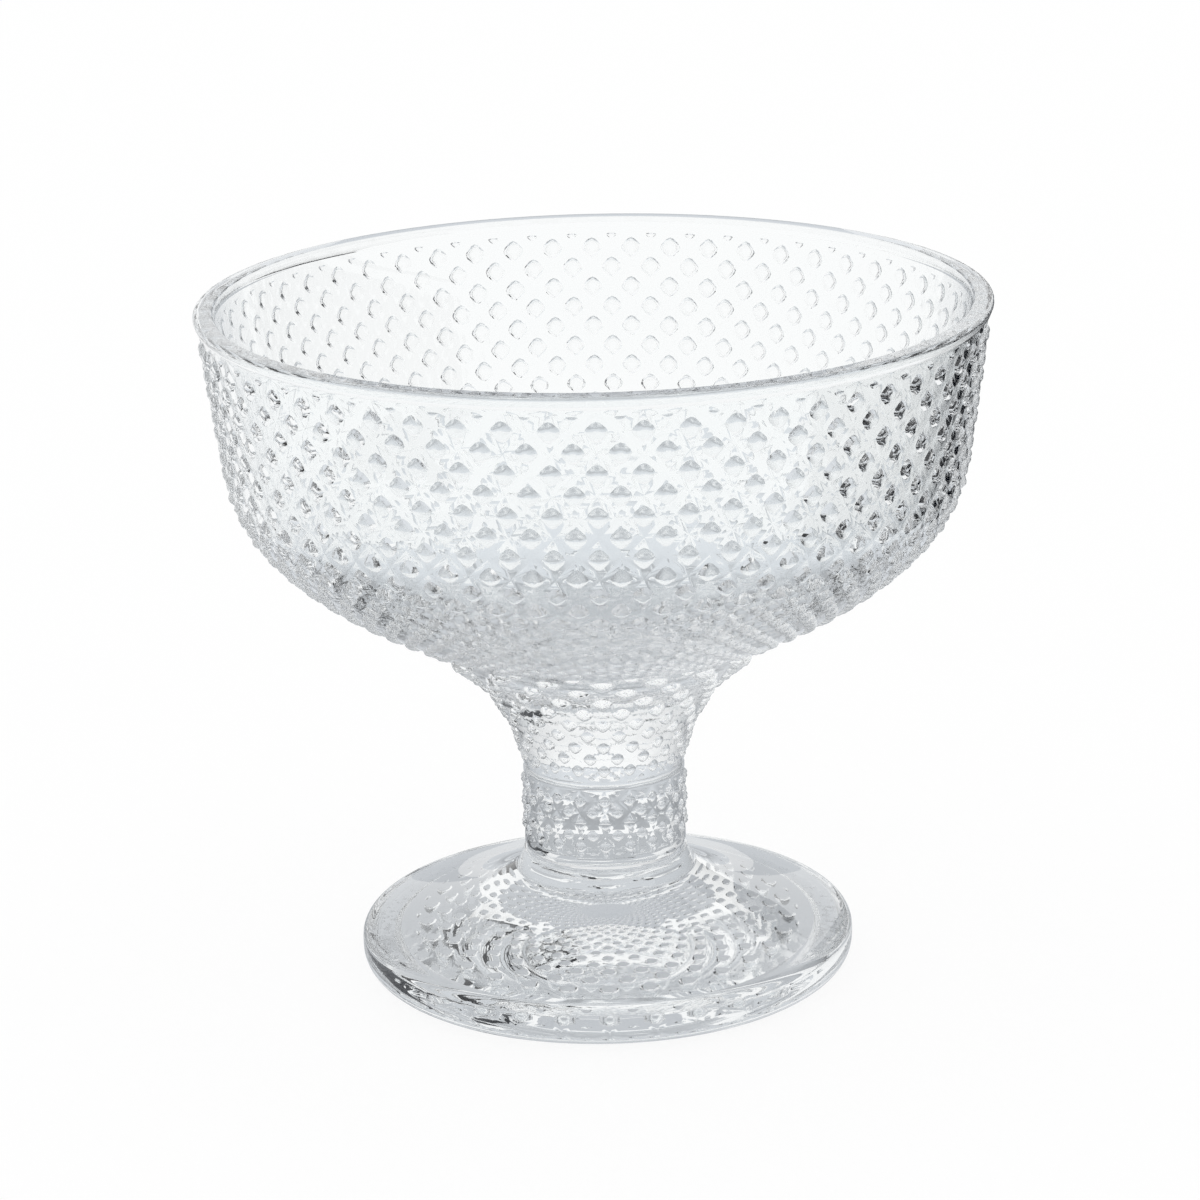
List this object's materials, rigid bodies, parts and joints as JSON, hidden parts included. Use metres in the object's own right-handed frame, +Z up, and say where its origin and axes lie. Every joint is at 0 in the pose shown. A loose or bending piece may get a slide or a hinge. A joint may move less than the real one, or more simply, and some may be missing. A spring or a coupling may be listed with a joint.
{
  "type": "footed dessert bowl",
  "caption": "Clear pressed-glass footed dessert bowl: deep round cup with raised lozenge relief, on a short solid stem and a round foot.",
  "frame": {"origin": "centre of the foot on the surface that it stands on", "axes": "+Z up along the axis of the bowl, stem and foot"},
  "size_m": [0.1206, 0.1206, 0.1068],
  "materials": {
    "bowl_glass": "clear, fire-polished",
    "stem_glass": "clear, fire-polished",
    "foot_glass": "clear, fire-polished"
  },
  "bodies": {
    "root": {"bowl": "bowl_glass", "stem": "stem_glass", "foot": "foot_glass"}
  },
  "joints": []
}
